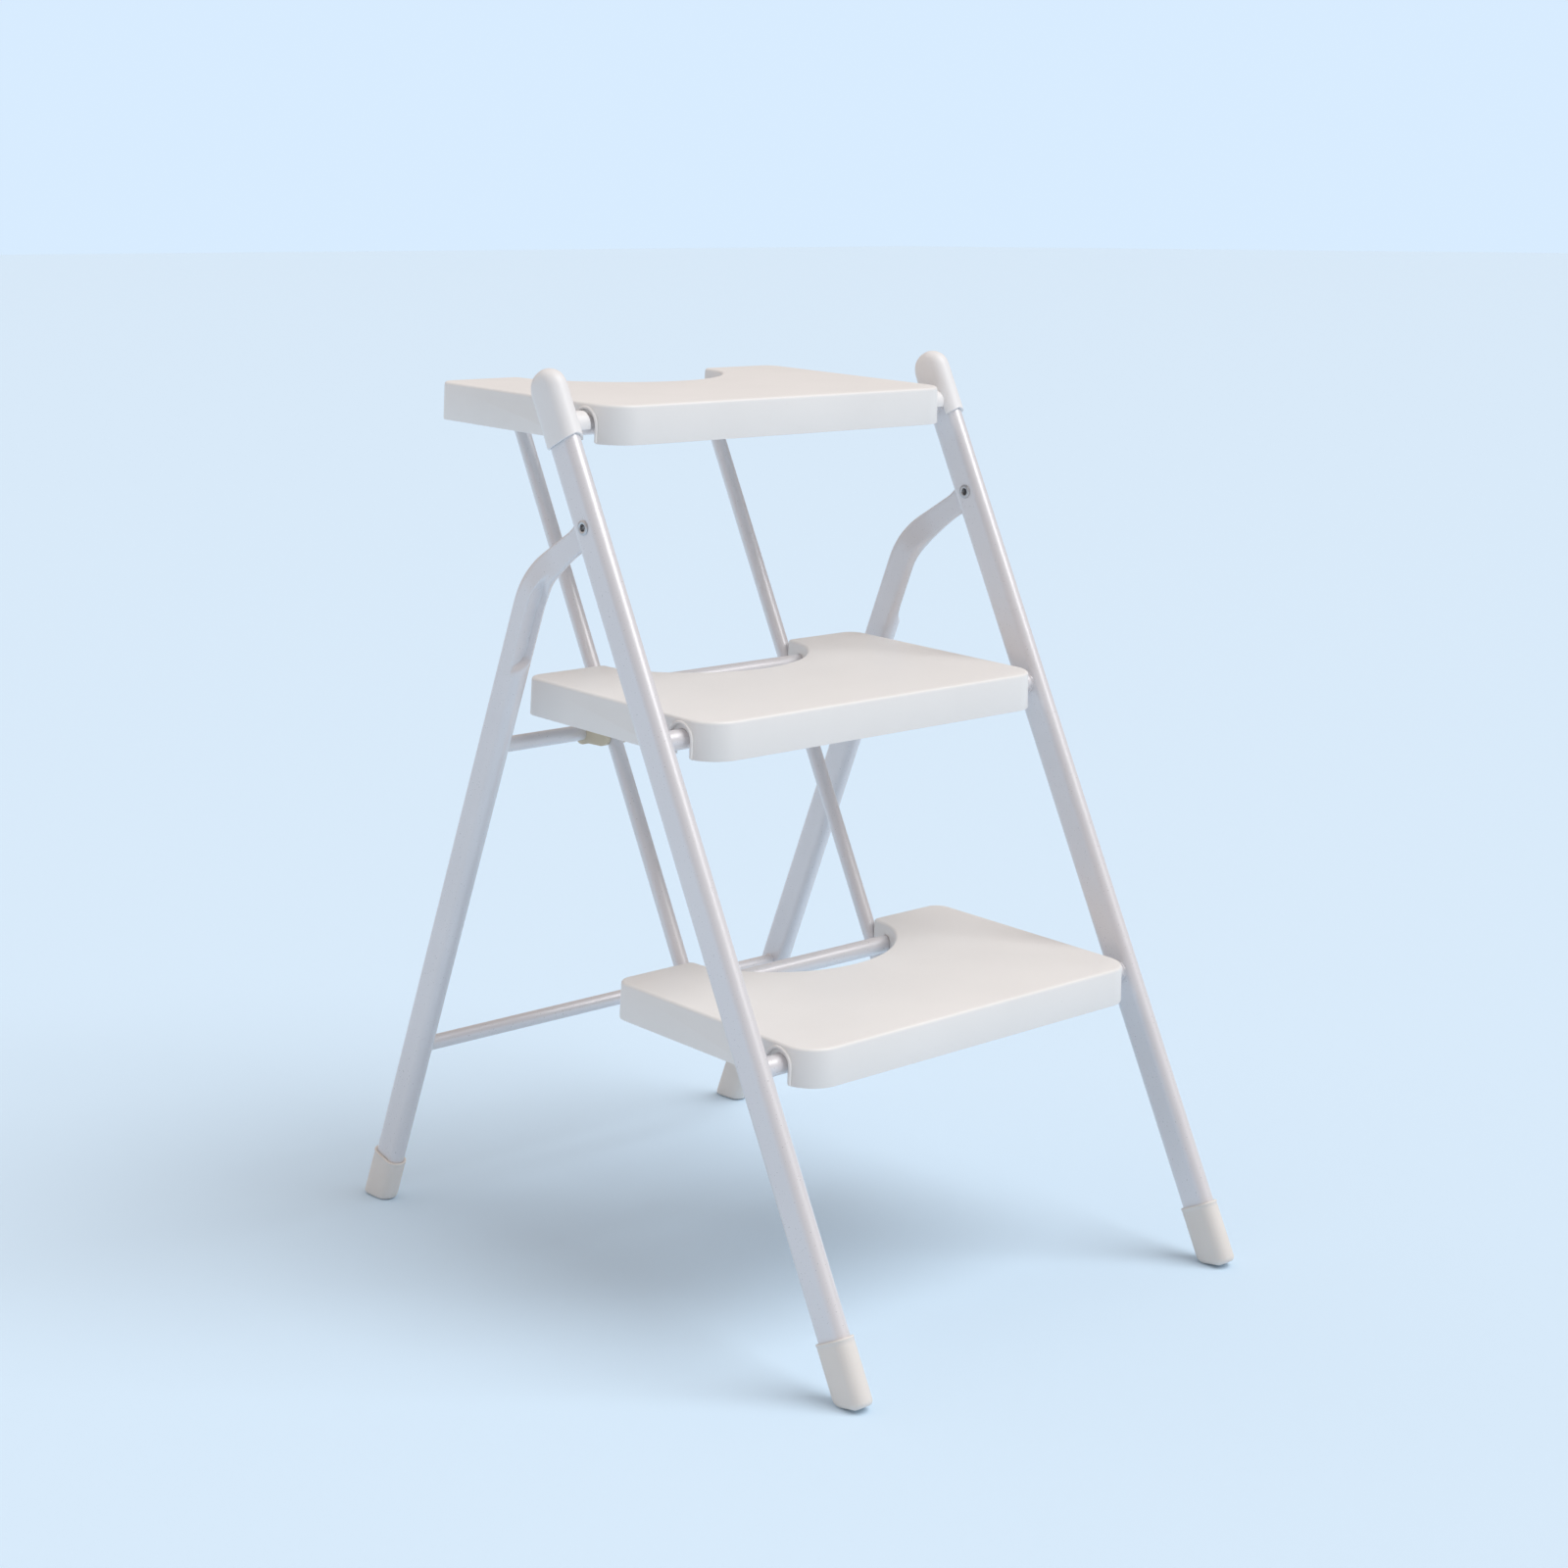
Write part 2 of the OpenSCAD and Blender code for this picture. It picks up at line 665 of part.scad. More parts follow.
tread_screws(TOP);  // tread_screws_top
tread_screws(MIDDLE);  // tread_screws_middle
tread_screws(LOWER);  // tread_screws_lower
link_rod(LEFT);  // link_rod_left
link_rod(RIGHT);  // link_rod_right
link_tube(TOP);  // link_tube_top
link_tube(MIDDLE);  // link_tube_middle
link_tube(LOWER);  // link_tube_lower
link_lugs();
link_rod_plugs();
link_tube_plugs();
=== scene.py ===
import json
import math

import bmesh
import bpy
from mathutils import Matrix, Vector


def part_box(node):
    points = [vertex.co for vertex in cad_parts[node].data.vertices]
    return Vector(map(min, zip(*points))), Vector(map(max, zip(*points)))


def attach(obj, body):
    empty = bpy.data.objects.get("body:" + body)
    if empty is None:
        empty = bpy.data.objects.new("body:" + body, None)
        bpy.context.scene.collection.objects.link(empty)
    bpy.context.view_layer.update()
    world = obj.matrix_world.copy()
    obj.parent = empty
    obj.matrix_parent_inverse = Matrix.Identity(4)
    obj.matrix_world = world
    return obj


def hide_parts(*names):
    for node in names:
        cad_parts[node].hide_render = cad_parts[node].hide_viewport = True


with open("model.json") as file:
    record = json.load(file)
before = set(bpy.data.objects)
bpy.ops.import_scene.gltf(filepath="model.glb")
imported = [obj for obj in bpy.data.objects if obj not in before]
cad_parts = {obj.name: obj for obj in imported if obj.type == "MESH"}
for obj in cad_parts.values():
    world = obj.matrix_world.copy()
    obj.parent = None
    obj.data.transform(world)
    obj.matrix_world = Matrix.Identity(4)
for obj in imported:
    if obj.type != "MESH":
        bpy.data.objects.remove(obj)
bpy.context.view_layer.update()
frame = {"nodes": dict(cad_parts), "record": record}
MM = 0.001
NODES = frame["nodes"]
JOINTS = {joint["name"]: joint for joint in frame["record"]["behaviour"]["joints"]}
SIDES = ((-1, "left"), (1, "right"))


def add_object(name, data):
    """New object with this data, linked to the scene."""
    thing = bpy.data.objects.new(name, data)
    bpy.context.scene.collection.objects.link(thing)
    return thing


# ---- camera, floor and light ------------------------------------------------

CAMERA_AT = (-1.5178, -1.6555, 0.8545)
CAMERA_AZIMUTH = 0.7419      # radians, from +Y towards +X
CAMERA_ELEVATION = -0.2032   # radians, below the horizontal
LENS = 63.06
SENSOR_WIDTH = 36
FLOOR_HALF = 60
FLOOR_COLOUR = (0.657, 0.823, 0.975)
BACKDROP = (0.69, 0.84, 1.0)
SURROUNDINGS = (0.50, 0.45, 0.43)


def make_camera():
    """Camera at the photograph's height and angle, with the Standard view so that whites stay white."""
    level = math.cos(CAMERA_ELEVATION)
    aim = Vector((math.sin(CAMERA_AZIMUTH) * level,
                  math.cos(CAMERA_AZIMUTH) * level,
                  math.sin(CAMERA_ELEVATION)))
    data = bpy.data.cameras.new("camera")
    data.lens = LENS
    data.sensor_width = SENSOR_WIDTH
    camera = add_object("camera", data)
    camera.location = CAMERA_AT
    camera.rotation_euler = aim.to_track_quat("-Z", "Y").to_euler()
    bpy.context.scene.camera = camera
    bpy.context.scene.view_settings.view_transform = "Standard"


def make_floor():
    """Plain pale floor whose far edge lies close to the horizon."""
    mesh = bpy.data.meshes.new("floor")
    work = bmesh.new()
    bmesh.ops.create_grid(work, x_segments=1, y_segments=1, size=FLOOR_HALF)
    work.to_mesh(mesh)
    work.free()
    floor = add_object("floor", mesh)
    mesh.materials.append(simple_material("floor_paint", FLOOR_COLOUR, roughness=1.0))


def sun_light(name, direction, strength, softness, colour):
    """Distant light from a direction; softness is its angular size in degrees."""
    data = bpy.data.lights.new(name, "SUN")
    data.energy = strength
    data.angle = math.radians(softness)
    data.color = colour
    light = add_object(name, data)
    light.rotation_euler = Vector(direction).to_track_quat("Z", "Y").to_euler()


def make_world():
    """Warm neutral surroundings that light the stool, and a pale blue backdrop that the view shows."""
    world = bpy.data.worlds.new("world")
    bpy.context.scene.world = world
    world.use_nodes = True
    tree = world.node_tree
    surroundings = tree.nodes["Background"]
    surroundings.inputs["Color"].default_value = (*SURROUNDINGS, 1)
    backdrop = tree.nodes.new("ShaderNodeBackground")
    backdrop.inputs["Color"].default_value = (*BACKDROP, 1)
    choice = tree.nodes.new("ShaderNodeMixShader")
    tree.links.new(tree.nodes.new("ShaderNodeLightPath").outputs["Is Camera Ray"], choice.inputs[0])
    tree.links.new(surroundings.outputs[0], choice.inputs[1])
    tree.links.new(backdrop.outputs[0], choice.inputs[2])
    tree.links.new(choice.outputs[0], tree.nodes["World Output"].inputs["Surface"])


def make_lights():
    """Broad light from the front and above, a weak warm one from the rear, and the world."""
    sun_light("key", direction=(0.30, -0.50, 0.85), strength=1.9, softness=45, colour=(0.97, 0.99, 1.0))
    sun_light("back", direction=(-0.35, 0.65, 0.75), strength=0.3, softness=70, colour=(1.0, 0.97, 0.94))
    make_world()


# ---- materials --------------------------------------------------------------

COAT_ROUGHNESS = 0.18
BUMP_HEIGHT = 0.4 * MM
CLOUD_SCALE = 9
SCUFF_SCALE = 55
SCUFF_STRENGTH = 0.35
SCUFF_SHADE = 0.82
WORN_EDGE_LIGHT = 1.06
SMOOTHER, ROUGHER = 0.06, 0.07


def simple_material(name, colour, roughness):
    """Plain material of one colour."""
    material = bpy.data.materials.new(name)
    material.use_nodes = True
    shader = material.node_tree.nodes["Principled BSDF"]
    shader.inputs["Base Color"].default_value = (*colour, 1)
    shader.inputs["Roughness"].default_value = roughness
    return material


def detailed_material(name, colour, shade, roughness, grain, bump, wear, metallic=0.0, coat=0.0):
    """Clouds of colour and shade, sparse darker scuffs, paler worn edges, and fine grain."""
    material = simple_material(name, colour, roughness)
    tree = material.node_tree
    shader = tree.nodes["Principled BSDF"]
    shader.inputs["Metallic"].default_value = metallic
    shader.inputs["Coat Weight"].default_value = coat
    shader.inputs["Coat Roughness"].default_value = COAT_ROUGHNESS
    position = tree.nodes.new("ShaderNodeTexCoord").outputs["Object"]

    def noise(scale, detail, roughening=0.5):
        node = tree.nodes.new("ShaderNodeTexNoise")
        node.inputs["Scale"].default_value = scale
        node.inputs["Detail"].default_value = detail
        node.inputs["Roughness"].default_value = roughening
        tree.links.new(position, node.inputs["Vector"])
        return node.outputs["Fac"]

    def remap(value, source, target):
        node = tree.nodes.new("ShaderNodeMapRange")
        for index, number in enumerate((*source, *target), start=1):
            node.inputs[index].default_value = number
        tree.links.new(value, node.inputs[0])
        return node.outputs[0]

    def mix(factor, first, second):
        """Mix of two colours; 6, 7 and 2 are the colour sockets of the node."""
        node = tree.nodes.new("ShaderNodeMix")
        node.data_type = "RGBA"
        tree.links.new(factor, node.inputs["Factor"])
        for socket, value in ((node.inputs[6], first), (node.inputs[7], second)):
            if isinstance(value, tuple):
                socket.default_value = (*value, 1)
            else:
                tree.links.new(value, socket)
        return node.outputs[2]

    clouds = mix(remap(noise(CLOUD_SCALE, detail=4), (0.35, 0.7), (0, 1)), colour, shade)
    scuffs = remap(noise(SCUFF_SCALE, detail=9, roughening=0.72), (0.66, 0.74), (0, SCUFF_STRENGTH))
    tone = mix(scuffs, clouds, tuple(c * SCUFF_SHADE for c in shade))
    edge = tree.nodes.new("ShaderNodeNewGeometry").outputs["Pointiness"]
    tone = mix(remap(edge, (0.53, 0.60), (0, wear)), tone, tuple(c * WORN_EDGE_LIGHT for c in colour))
    tree.links.new(tone, shader.inputs["Base Color"])
    gloss = remap(noise(grain * 0.5, detail=3), (0.3, 0.7), (roughness - SMOOTHER, roughness + ROUGHER))
    tree.links.new(gloss, shader.inputs["Roughness"])
    fine = tree.nodes.new("ShaderNodeBump")
    fine.inputs["Strength"].default_value = bump
    fine.inputs["Distance"].default_value = BUMP_HEIGHT
    tree.links.new(noise(grain, detail=2), fine.inputs["Height"])
    tree.links.new(fine.outputs["Normal"], shader.inputs["Normal"])
    return material


def make_materials():
    """One material for each slot of the frame."""
    return {
        "painted_tube": detailed_material(
            "pearl_paint", colour=(0.77, 0.755, 0.775), shade=(0.73, 0.715, 0.735),
            roughness=0.33, grain=1400, bump=0.18, wear=0.4, metallic=0.25, coat=0.3),
        "tread_plastic": detailed_material(
            "tread_plastic", colour=(0.85, 0.835, 0.82), shade=(0.82, 0.805, 0.79),
            roughness=0.40, grain=1700, bump=0.16, wear=0.5),
        "cap_plastic": detailed_material(
            "cap_plastic", colour=(0.86, 0.85, 0.85), shade=(0.83, 0.82, 0.82),
            roughness=0.38, grain=1500, bump=0.14, wear=0.4),
        "foot_plastic": detailed_material(
            "foot_plastic", colour=(0.80, 0.76, 0.72), shade=(0.75, 0.71, 0.67),
            roughness=0.55, grain=1200, bump=0.30, wear=0.3),
        "ivory_plastic": detailed_material(
            "ivory_plastic", colour=(0.66, 0.58, 0.44), shade=(0.60, 0.52, 0.39),
            roughness=0.5, grain=1300, bump=0.2, wear=0.3),
        "zinc_steel": detailed_material(
            "zinc_steel", colour=(0.62, 0.62, 0.63), shade=(0.5, 0.5, 0.51),
            roughness=0.35, grain=900, bump=0.25, wear=0.3, metallic=0.9),
    }


# ---- places that follow from the frame ---------------------------------------

def middle(node):
    """Centre of a CAD node's box, as (y, z)."""
    low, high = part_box(node)
    return Vector(((low[1] + high[1]) / 2, (low[2] + high[2]) / 2))


def hinge_yz(name):
    """Place of a joint's axis, as (y, z)."""
    return Vector(JOINTS[name]["pos_m"][1:])


PIVOTS = {level: hinge_yz(f"tread_{level}_fold") for level in ("lower", "middle", "top")}
RIVET = hinge_yz("rear_fold")
LINK_MIDDLE = hinge_yz("link_swing")
STILE_UP = (PIVOTS["top"] - PIVOTS["lower"]).normalized()
TREAD_BACK = (LINK_MIDDLE - PIVOTS["middle"]).normalized()
LINK_REACH = (LINK_MIDDLE - PIVOTS["middle"]).length
LEG_UP = (middle("rear_crossbar_middle") - middle("rear_crossbar_lower")).normalized()
STILE_X = (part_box("front_stile_right")[0][0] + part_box("front_stile_right")[1][0]) / 2
LEG_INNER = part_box("rear_crossbar_middle")[1][0]
TUBE_DEPTH = 30 * MM
TUBE_THICK = 15 * MM
PIVOT_TUBE_R = 8 * MM
CROSSBAR_R = 6.5 * MM
LEG_X = LEG_INNER + TUBE_THICK / 2
STILE_FOOT = PIVOTS["lower"] - STILE_UP * (PIVOTS["lower"].y / STILE_UP.y)
LEG_FOOT = middle("rear_crossbar_lower") - LEG_UP * (middle("rear_crossbar_lower").y / LEG_UP.y)


def frame_at(origin, up):
    """Matrix from (x, y, z), z along up and y to the rear, to the row frame; origin and up are (y, z)."""
    return Matrix(((1, 0, 0, 0), (0, up.y, up.x, origin.x), (0, -up.x, up.y, origin.y), (0, 0, 0, 1)))


def tread_frame(level):
    """Matrix of one tread: origin on its pivot, y to the rear along its top face."""
    back, at = TREAD_BACK, PIVOTS[level]
    return Matrix(((1, 0, 0, 0), (0, back.x, -back.y, at.x), (0, back.y, back.x, at.y), (0, 0, 0, 1)))


# ---- outlines -----------------------------------------------------------------

SAME_POINT = 1e-6


def arc(centre, radius, start, end, steps):
    """Points of an arc from one angle in degrees to another, both ends included."""
    angles = [math.radians(start + (end - start) * i / steps) for i in range(steps + 1)]
    return [(centre[0] + radius * math.cos(a), centre[1] + radius * math.sin(a)) for a in angles]


def circle(centre, radius, points):
    """Full circle, anticlockwise."""
    return arc(centre, radius, 0, 360 - 360 / points, points - 1)


def stadium(half_depth, half_thick, steps=10):
    """Flat oval as (x, y), long side along y, anticlockwise."""
    reach = max(half_depth - half_thick, 0)
    return arc((0, reach), half_thick, 0, 180, steps) + arc((0, -reach), half_thick, 180, 360, steps)


def without_repeats(points):
    """A closed outline without points that coincide with the one before."""
    return [p for i, p in enumerate(points) if math.dist(p, points[i - 1]) > SAME_POINT]


def inset(points, distance):
    """A closed anticlockwise outline moved inwards."""
    moved = []
    count = len(points)
    for i, (x, y) in enumerate(points):
        ax, ay = points[i - 1]
        bx, by = points[(i + 1) % count]
        first = Vector((x - ax, y - ay)).normalized()
        second = Vector((bx - x, by - y)).normalized()
        side = Vector((-(first.y + second.y), first.x + second.x)).normalized()
        stretch = max(0.5, side.dot(Vector((-first.y, first.x))))
        moved.append((x + side.x * distance / stretch, y + side.y * distance / stretch))
    return moved


def crossings(outline, axis, value):
    """Where the line axis = value crosses an outline, in order, as spans inside it."""
    hits = []
    for i, point in enumerate(outline):
        last = outline[i - 1]
        a, b = last[axis] - value, point[axis] - value
        if (a < 0) != (b < 0):
            hits.append(last[1 - axis] + (point[1 - axis] - last[1 - axis]) * a / (a - b))
    hits.sort()
    return list(zip(hits[::2], hits[1::2]))


# ---- mesh helpers --------------------------------------------------------------

def bridge(work, row, next_row):
    """Faces between two closed rows with the same number of vertices."""
    for i in range(len(row)):
        j = (i + 1) % len(row)
        work.faces.new((row[i], row[j], next_row[j], next_row[i]))


def loft(work, rings, cap_start=True, cap_end=True):
    """Skin over a series of closed rings, with a face on each end that is to be closed."""
    rows = [[work.verts.new(p) for p in ring] for ring in rings]
    for row, next_row in zip(rows, rows[1:]):
        bridge(work, row, next_row)
    if cap_start:
        work.faces.new(list(reversed(rows[0])))
    if cap_end:
        work.faces.new(rows[-1])
    return rows


def loft_round(work, rings):
    """Skin over closed rings that stand in a circle, the last one joined to the first."""
    rows = [[work.verts.new(p) for p in ring] for ring in rings]
    for k, row in enumerate(rows):
        bridge(work, row, rows[(k + 1) % len(rows)])


def lathe(work, profile, centre, steps=40):
    """Solid turned about a line along x; profile is a closed list of (x, radius)."""
    rings = []
    for k in range(steps):
        a = 2 * math.pi * k / steps
        rings.append([(centre[0] + x, centre[1] + r * math.cos(a), centre[2] + r * math.sin(a))
                      for x, r in profile])
    loft_round(work, rings)


def box_into(work, low, high):
    """Box between two opposite corners."""
    corners = ((low[0], low[1]), (high[0], low[1]), (high[0], high[1]), (low[0], high[1]))
    loft(work, [[(x, y, z) for x, y in corners] for z in (low[2], high[2])])


def prism_x(work, outline, x0, x1):
    """Outline in (y, z) run along x."""
    loft(work, [[(x, y, z) for y, z in outline] for x in (x0, x1)])


def side_prism(work, outline, side, near, far):
    """Outline in (y, z) run along x between two distances from the middle, on one side."""
    prism_x(work, outline, *sorted((side * near, side * far)))


def sweep(work, path, radius, sides=10):
    """Round bar along a path that stays close to one plane of constant x."""
    rings = []
    for i, point in enumerate(path):
        before = Vector(path[max(i - 1, 0)])
        after = Vector(path[min(i + 1, len(path) - 1)])
        along = (after - before).normalized()
        across = Vector((1, 0, 0))
        other = along.cross(across)
        rings.append([Vector(point) + radius * (math.cos(a) * across + math.sin(a) * other)
                      for a in (2 * math.pi * k / sides for k in range(sides))])
    loft(work, rings)


def smooth(mesh, sharp):
    """Smooth shading, with edges above the angle in degrees kept sharp."""
    for polygon in mesh.polygons:
        polygon.use_smooth = True
    mesh.set_sharp_from_angle(angle=math.radians(sharp))


def finish_mesh(work, name, sharp=32):
    """Turns the working mesh into an object of the scene."""
    bmesh.ops.recalc_face_normals(work, faces=work.faces)
    mesh = bpy.data.meshes.new(name)
    work.to_mesh(mesh)
    work.free()
    smooth(mesh, sharp)
    return add_object(name, mesh)


def boolean(thing, cutter, operation="DIFFERENCE", overlapping=False):
    """Cuts or joins with another object, which is then removed."""
    modifier = thing.modifiers.new("boolean", "BOOLEAN")
    modifier.operation = operation
    modifier.solver = "EXACT"
    modifier.use_self = overlapping
    modifier.object = cutter
    graph = bpy.context.evaluated_depsgraph_get()
    result = bpy.data.meshes.new_from_object(thing.evaluated_get(graph))
    thing.modifiers.clear()
    thing.data = result
    bpy.data.objects.remove(cutter)
    smooth(result, sharp=32)


def place(thing, matrix, body, slot, *nodes):
    """Puts a mesh built in a local frame into the row frame and onto its body."""
    thing.data.transform(matrix)
    if matrix.determinant() < 0:
        thing.data.flip_normals()
    thing.data.materials.clear()
    thing.data.materials.append(MATERIALS[slot])
    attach(thing, body)
    if nodes:
        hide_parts(*nodes)


# ---- treads ----------------------------------------------------------------------
# In a tread's own frame: x sideways, y to the rear from its pivot, z up from the pivot.

HALF_WIDTH = 186 * MM
TOP_Z = 17 * MM
LOW_Z = -14 * MM
SKIRT = 2.6 * MM
DRAFT = 0.9 * MM
TREAD_FRONT = -34 * MM
TREAD_REAR = 197 * MM
BELOW = -40 * MM             # where cuts that are open at the bottom start
RECESS_INSET = 2.75 * MM     # depth of the recess round the pivot tube in each side
WALL_INSET = 3.7 * MM        # from the side to the middle of the wall behind that recess
RIBS_X = (-170, -104, -60, 0, 60, 104, 170)   # in mm
RIBS_Y = (-22, 30, 62, 94)                    # in mm


def tread_contour():
    """Outline of a tread with its bowl-shaped cut-out, anticlockwise from the front left corner."""
    front_r, rear_r, tip_r = 28 * MM, 15 * MM, 7 * MM
    grip_y, bowl_depth = 190 * MM, 78 * MM
    side_x, side_r = 50 * MM, 52 * MM
    bowl_r = (side_x ** 2 + bowl_depth ** 2 - side_r ** 2) / (2 * (bowl_depth - side_r))
    bowl_y = grip_y - bowl_depth + bowl_r
    turn = math.degrees(math.atan2(bowl_y - grip_y, side_x))
    tip_x = side_x + side_r + tip_r
    gap = 3
    points = arc((-HALF_WIDTH + front_r, TREAD_FRONT + front_r), front_r, 180, 270, 12)
    points += arc((HALF_WIDTH - front_r, TREAD_FRONT + front_r), front_r, 270, 360, 12)
    points += arc((HALF_WIDTH - rear_r, TREAD_REAR - rear_r), rear_r, 0, 90, 8)
    points += arc((tip_x, TREAD_REAR - tip_r), tip_r, 90, 180, 7)
    points += arc((side_x, grip_y), side_r, 0, -turn, 12)
    points += arc((0, bowl_y), bowl_r, -turn - gap, turn - 180 + gap, 30)
    points += arc((-side_x, grip_y), side_r, turn - 180, -180, 12)
    points += arc((-tip_x, TREAD_REAR - tip_r), tip_r, 0, 90, 7)
    points += arc((-HALF_WIDTH + rear_r, TREAD_REAR - rear_r), rear_r, 90, 180, 8)
    return without_repeats(points)


def level_rings(outline, profile):
    """The outline as one ring for each (distance inwards, height) of a profile."""
    return [[(x, y, z) for x, y in inset(outline, distance)] for distance, z in profile]


def tread_shell():
    """Hollow tread: softened lower edge, drafted skirt, rounded upper edge, open underside."""
    outline = tread_contour()
    edge_r, top_thick, corner, lip = 2.6 * MM, 3 * MM, 1.2 * MM, 0.5 * MM
    outside = [(0.7 * MM, LOW_Z), (0.15 * MM, LOW_Z + 0.2 * MM), (0, LOW_Z + 0.8 * MM),
               (DRAFT, TOP_Z - edge_r)]
    for degrees in (18, 36, 54, 72, 90):
        t = math.radians(degrees)
        outside.append((DRAFT + edge_r - edge_r * math.cos(t), TOP_Z - edge_r + edge_r * math.sin(t)))
    inside = [(SKIRT + DRAFT + corner, TOP_Z - top_thick), (SKIRT + DRAFT, TOP_Z - top_thick - corner),
              (SKIRT, LOW_Z + lip), (SKIRT - lip, LOW_Z)]
    work = bmesh.new()
    outer_rows = loft(work, level_rings(outline, outside), cap_start=False)
    inner_rows = loft(work, level_rings(outline, inside), cap_end=False)
    bridge(work, inner_rows[-1], outer_rows[0])
    return finish_mesh(work, "tread_build")


def tread_ribs():
    """Moulded ribs under the top face, stopping just inside the skirt, and the wall behind each recess."""
    outline = inset(tread_contour(), 1.6 * MM)
    half, low, high = 1 * MM, -6 * MM, TOP_Z - 2 * MM
    wall_half, wall_reach = 1.2 * MM, 14.6 * MM
    work = bmesh.new()
    for x in RIBS_X:
        for start, end in crossings(outline, 0, x * MM):
            box_into(work, (x * MM - half, start, low), (x * MM + half, end, high))
    for y in RIBS_Y:
        for start, end in crossings(outline, 1, y * MM):
            box_into(work, (start, y * MM - half, low), (end, y * MM + half, high))
    for side in (-1, 1):
        wall = side * (HALF_WIDTH - WALL_INSET)
        box_into(work, (wall - wall_half, -wall_reach, LOW_Z + 1 * MM), (wall + wall_half, wall_reach, high))
    return finish_mesh(work, "ribs_build")


def screw_bosses():
    """Round bosses in pairs, one on each side of the pivot tube and of the linkage tube."""
    radius, ear = 4 * MM, 14 * MM
    low, high = -5 * MM, TOP_Z - 2 * MM
    work = bmesh.new()
    for side in (-1, 1):
        for x, y in ((92 * MM, 0), (136 * MM, LINK_REACH)):
            for offset in (-ear, ear):
                ring = circle((side * x, y + offset), radius, points=24)
                loft(work, [[(px, py, z) for px, py in ring] for z in (low, high)])
    return finish_mesh(work, "bosses_build")


def open_arch(radius, y):
    """Half-round arch over a tube at y, open at the bottom."""
    return [(y - radius, BELOW), (y + radius, BELOW)] + arc((y, 0), radius, 0, 180, 20)


def tread_cutter():
    """Arches for the tubes; behind the wide one in each side the recess wall stays."""
    seat_r, mouth_r, link_r = 8.2 * MM, 12.2 * MM, 7.8 * MM
    link_near, link_far = 80 * MM, 153 * MM
    recess, outside = HALF_WIDTH - RECESS_INSET, 200 * MM
    work = bmesh.new()
    prism_x(work, open_arch(seat_r, 0), -recess, recess)
    for side in (-1, 1):
        side_prism(work, open_arch(mouth_r, 0), side, recess, outside)
        side_prism(work, open_arch(link_r, LINK_REACH), side, link_near, link_far)
    return finish_mesh(work, "arches_build")


def rod_cutter():
    """Room for the linkage rods as they turn about the linkage tube, keep_r away from its centre."""
    keep_r, rise = 14.3 * MM, 50 * MM
    near, far = 98 * MM, 114 * MM
    rear = LINK_REACH + 90 * MM
    tilt = math.acos(min(1, STILE_UP.dot(Vector((-TREAD_BACK.y, TREAD_BACK.x)))))
    tangent = (LINK_REACH + keep_r * math.cos(tilt), -keep_r * math.sin(tilt))
    outline = [(LINK_REACH, BELOW)] + arc((LINK_REACH, 0), keep_r, -90, -math.degrees(tilt), 8)
    outline += [(tangent[0] + rise * math.sin(tilt), tangent[1] + rise * math.cos(tilt)),
                (rear, rise), (rear, BELOW)]
    work = bmesh.new()
    for side in (-1, 1):
        side_prism(work, without_repeats(outline), side, near, far)
    return finish_mesh(work, "relief_build")


def lug_cutter():
    """Slots that the lugs between the linkage tube and the rods turn in."""
    room_r, notch = 13 * MM, 10 * MM
    near, far = 102.5 * MM, 109.5 * MM
    rear = LINK_REACH + 70 * MM
    outline = [(LINK_REACH - notch, BELOW), (rear, BELOW), (rear, 0)]
    outline += arc((LINK_REACH, 0), room_r, 0, 180 + math.degrees(math.acos(notch / room_r)), 24)
    work = bmesh.new()
    for side in (-1, 1):
        side_prism(work, outline, side, near, far)
    return finish_mesh(work, "lug_slots_build")


def arch_beads():
    """Round bead along each side arch, half sunk into the drafted skirt."""
    arch_r, bead_r = 13.4 * MM, 1.25 * MM
    foot_z = LOW_Z + 1.3 * MM
    path = [(arch_r, foot_z)] + arc((0, 0), arch_r, 0, 180, 22) + [(-arch_r, foot_z)]
    work = bmesh.new()
    for side in (-1, 1):
        bar = [(side * (HALF_WIDTH - DRAFT * (z - LOW_Z) / (TOP_Z - LOW_Z)), y, z) for y, z in path]
        sweep(work, bar, bead_r)
    return finish_mesh(work, "beads_build")


def make_treads():
    """One tread is built, and each level gets its own copy."""
    master = tread_shell()
    boolean(master, tread_ribs(), "UNION", overlapping=True)
    boolean(master, screw_bosses(), "UNION", overlapping=True)
    boolean(master, tread_cutter(), overlapping=True)
    boolean(master, rod_cutter())
    boolean(master, lug_cutter())
    boolean(master, arch_beads(), "UNION")
    for level in PIVOTS:
        tread = add_object(f"tread_shell_{level}", master.data.copy())
        place(tread, tread_frame(level), f"tread_{level}_body", "tread_plastic", f"tread_{level}")
    bpy.data.objects.remove(master)


# ---- rear legs ---------------------------------------------------------------------
# s is the distance along a leg; in these pairs it is counted from the rivet or from the start of the bend.

FLATTENS = (-94 * MM, -52 * MM)       # from the rivet: oval tube to flat end, and outwards to the stile
NARROWS = (-112 * MM, -22 * MM)       # from the rivet: front edge moves in to the tip's width
WIDENS_OVER = 24 * MM                 # before the rivet: rear edge moves to the tip's width
PRESSES_IN = (-52 * MM, -38 * MM)     # from the bend: outer wall sinks in
PRESSED_BAND = (-7 * MM, -4.4 * MM)   # across the section: where the sunk part ends
PRESSED_THICK = 5 * MM
FLAT_HALF = 2 * MM
RIVET_OFFSET = 7 * MM                 # from the tube's centre line to the rivet, to the rear
LEG_START = 12 * MM                   # from the floor, inside the foot
TIP_R = 12.5 * MM


def smooth_step(value, start, end):
    """0 before start, 1 after end, and a smooth rise between them."""
    t = min(1.0, max(0.0, (value - start) / (end - start)))
    return t * t * (3 - 2 * t)


